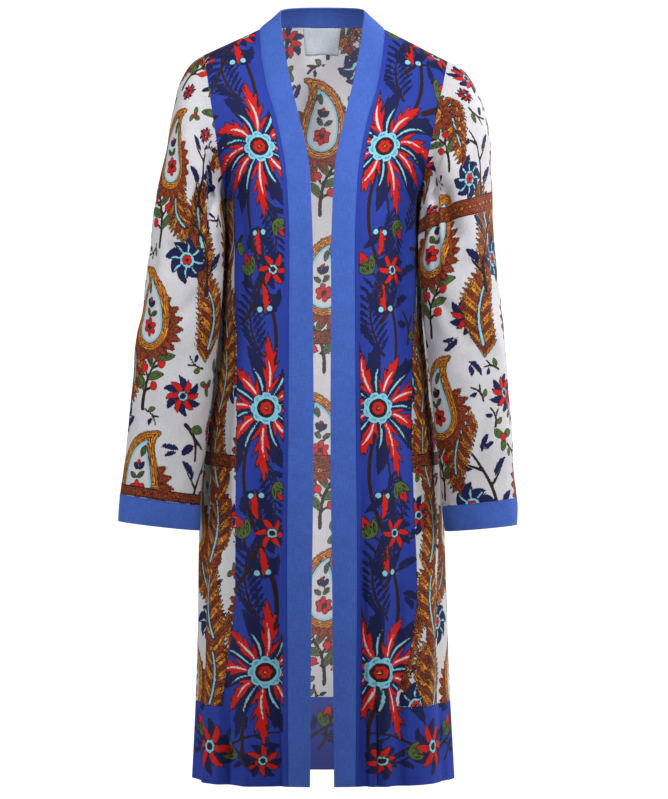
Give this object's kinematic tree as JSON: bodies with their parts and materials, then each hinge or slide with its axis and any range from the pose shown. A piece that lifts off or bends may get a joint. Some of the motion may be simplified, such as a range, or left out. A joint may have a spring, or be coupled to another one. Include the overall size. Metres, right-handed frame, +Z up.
{
  "type": "kimono robe",
  "caption": "Long open-front kimono robe, filled out as worn, with long sleeves, plain cuffs and a plain band round the neck and down both front edges.",
  "frame": {"origin": "midway between the neck ends of the two shoulder seams, where the wearer's shoulders hold the robe", "axes": "+X towards the wearer's left, +Y from the front to the back, +Z up"},
  "size_m": [0.558, 0.2438, 1.0951],
  "materials": {
    "printed_cloth": "matt printed cotton, pale grey ivory ground with ochre, red, green, navy and turquoise motifs",
    "cobalt_printed_cloth": "matt printed cotton, cobalt ground with red, turquoise, navy and green motifs",
    "band_cloth": "matt plain weave, mid blue",
    "label_cloth": "blank woven tape, pale grey"
  },
  "bodies": {
    "root": {"front_right": "cobalt_printed_cloth", "front_left": "cobalt_printed_cloth", "back": "printed_cloth", "sleeve_right": "printed_cloth", "sleeve_left": "printed_cloth", "cuff_right": "band_cloth", "cuff_left": "band_cloth", "neck_band": "band_cloth", "neck_label": "label_cloth"}
  },
  "joints": []
}
